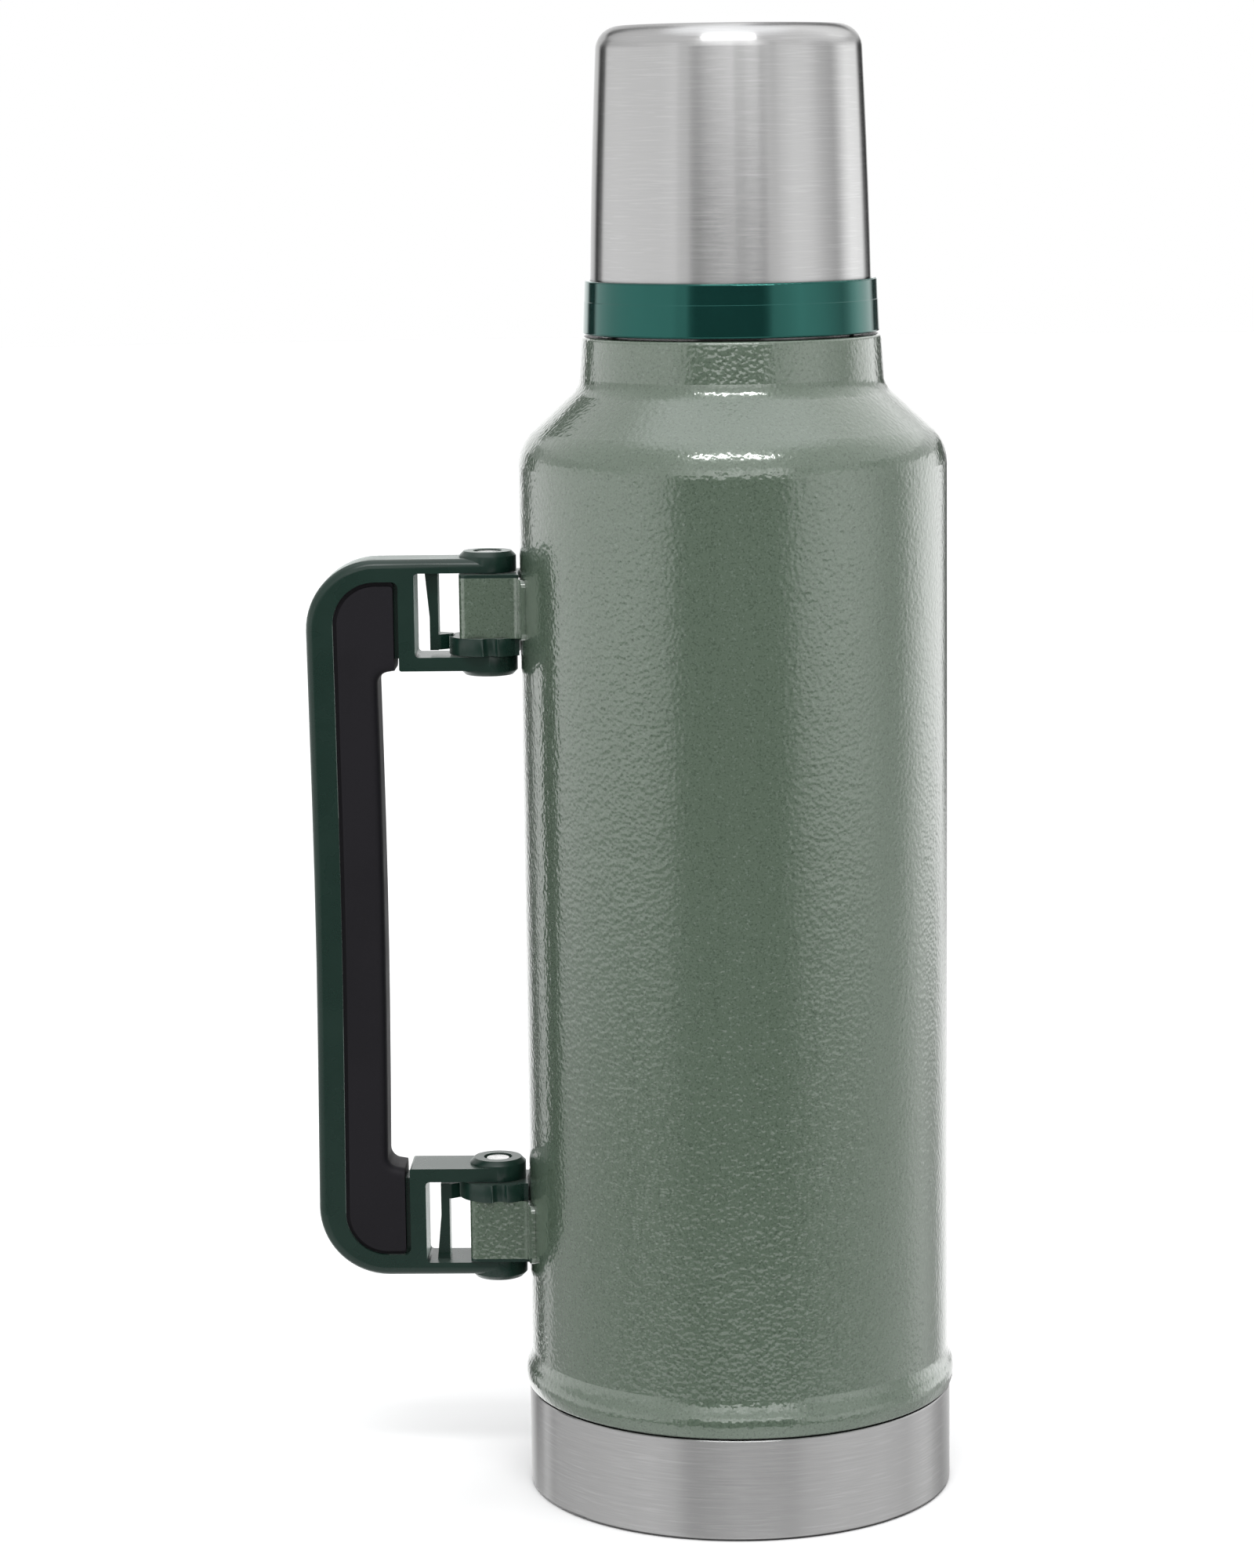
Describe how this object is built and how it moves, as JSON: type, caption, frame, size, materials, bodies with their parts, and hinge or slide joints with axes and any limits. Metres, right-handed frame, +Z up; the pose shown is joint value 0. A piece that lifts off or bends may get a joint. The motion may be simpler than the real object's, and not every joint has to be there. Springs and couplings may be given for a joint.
{
  "type": "vacuum flask",
  "caption": "Tall double-walled vacuum flask with a shoulder and neck, screw-on drinking cup, threaded stopper and a folding side handle on two hinges.",
  "frame": {"origin": "on the flask's axis at the surface it stands on", "axes": "+Z up along the flask's axis, the handle on the -X side in the XZ plane, folding about a vertical axis"},
  "size_m": [0.165, 0.112, 0.376],
  "materials": {
    "hammertone_paint": "hammertone, semi-gloss",
    "brushed_steel": "fine brushed",
    "inner_steel": "electropolished",
    "polished_pin": "polished",
    "green_gloss": "gloss",
    "green_satin": "satin",
    "grip_rubber": "soft matte",
    "silicone": "matte silicone",
    "stopper_black": "fine texture",
    "foam": "foam",
    "seal_glass": "glassy bead"
  },
  "bodies": {
    "bottle": {"outer_shell": "hammertone_paint", "base_cup": "brushed_steel", "inner_vessel": "inner_steel", "inner_bottom": "inner_steel", "outer_bottom_plate": "inner_steel", "vacuum_seal_bead": "seal_glass", "getter_capsule": "inner_steel", "getter_clip": "inner_steel", "threaded_collar": "brushed_steel", "upper_bracket": "hammertone_paint", "lower_bracket": "hammertone_paint", "upper_detent_cam": "green_satin", "lower_detent_cam": "green_satin"},
    "cup_seal": {"cup_seal": "silicone"},
    "cup": {"cup_shell": "brushed_steel", "cup_liner": "inner_steel", "cup_ring": "green_gloss"},
    "stopper_seal": {"stopper_seal": "silicone"},
    "stopper": {"stopper_plug": "stopper_black", "stopper_knob": "stopper_black", "stopper_insulation": "foam"},
    "handle": {"handle_frame": "green_satin", "grip_overmould": "grip_rubber", "upper_hinge_pin": "polished_pin", "lower_hinge_pin": "polished_pin", "upper_detent_spring": "green_satin", "lower_detent_spring": "green_satin"}
  },
  "joints": [
    {"name": "handle_fold", "type": "hinge", "parent": "bottle", "child": "handle", "pos_m": [-0.0626, 0, 0.15], "axis": [0, 0, 1], "range_deg": [-95, 95], "deforming": ["upper_detent_spring", "lower_detent_spring"]},
    {"name": "cup_lift", "type": "slide", "parent": "bottle", "child": "cup_seal", "axis": [0, 0, 1], "range_m": [0, 0.04801]},
    {"name": "cup_turn", "type": "hinge", "parent": "cup_seal", "child": "cup", "pos_m": [0, 0, 0.3], "axis": [0, 0, 1], "range_deg": [0, 2880]},
    {"name": "stopper_lift", "type": "slide", "parent": "bottle", "child": "stopper_seal", "axis": [0, 0, 1], "range_m": [0, 0.03301]},
    {"name": "stopper_turn", "type": "hinge", "parent": "stopper_seal", "child": "stopper", "pos_m": [0, 0, 0.3], "axis": [0, 0, 1], "range_deg": [0, 1980]}
  ],
  "couplings": [
    {"joint": "cup_lift", "follows": "cup_turn", "m_per_rad": 0.00095493},
    {"joint": "stopper_lift", "follows": "stopper_turn", "m_per_rad": 0.00095493}
  ]
}
